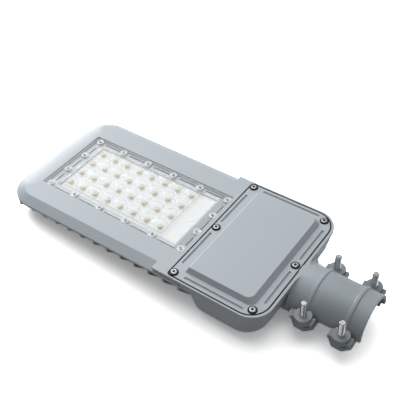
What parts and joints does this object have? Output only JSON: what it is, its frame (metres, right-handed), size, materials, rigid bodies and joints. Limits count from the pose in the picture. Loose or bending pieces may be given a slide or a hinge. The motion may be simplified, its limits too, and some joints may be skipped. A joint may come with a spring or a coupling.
{
  "type": "street light head",
  "caption": "LED street light head: cast housing with cooling fins, clear optic over light chips, screwed driver cover, and a bolted clamp for a round pole",
  "frame": {"origin": "middle of the pole clamp's open mouth, on the pole's axis", "axes": "+X along the head and out of the clamp's mouth, +Y across the head, +Z out of the light face, which looks down in use"},
  "size_m": [0.5006, 0.1962, 0.0738],
  "materials": {
    "cast_grey": "satin",
    "board_white": "satin",
    "chip_yellow": "satin",
    "seal_rubber": "matt",
    "clear_optic": "polished",
    "fastener_steel": "brushed",
    "case_metal": "satin",
    "block_plastic": "matt",
    "lead_plastic": "matt"
  },
  "bodies": {
    "root": {"housing": "cast_grey", "led_board": "board_white", "led_chips": "chip_yellow", "lens_gasket": "seal_rubber", "lens_plate": "clear_optic", "driver_cover": "cast_grey", "cover_gasket": "seal_rubber", "cover_screw_rings": "seal_rubber", "cover_screws": "fastener_steel", "power_supply": "case_metal", "terminal_block": "block_plastic", "led_lead": "lead_plastic", "input_lead": "lead_plastic", "inlet_grommet": "seal_rubber", "clamp_strap_front": "cast_grey", "clamp_strap_rear": "cast_grey", "clamp_bolts": "fastener_steel", "clamp_washers": "fastener_steel"}
  },
  "joints": []
}
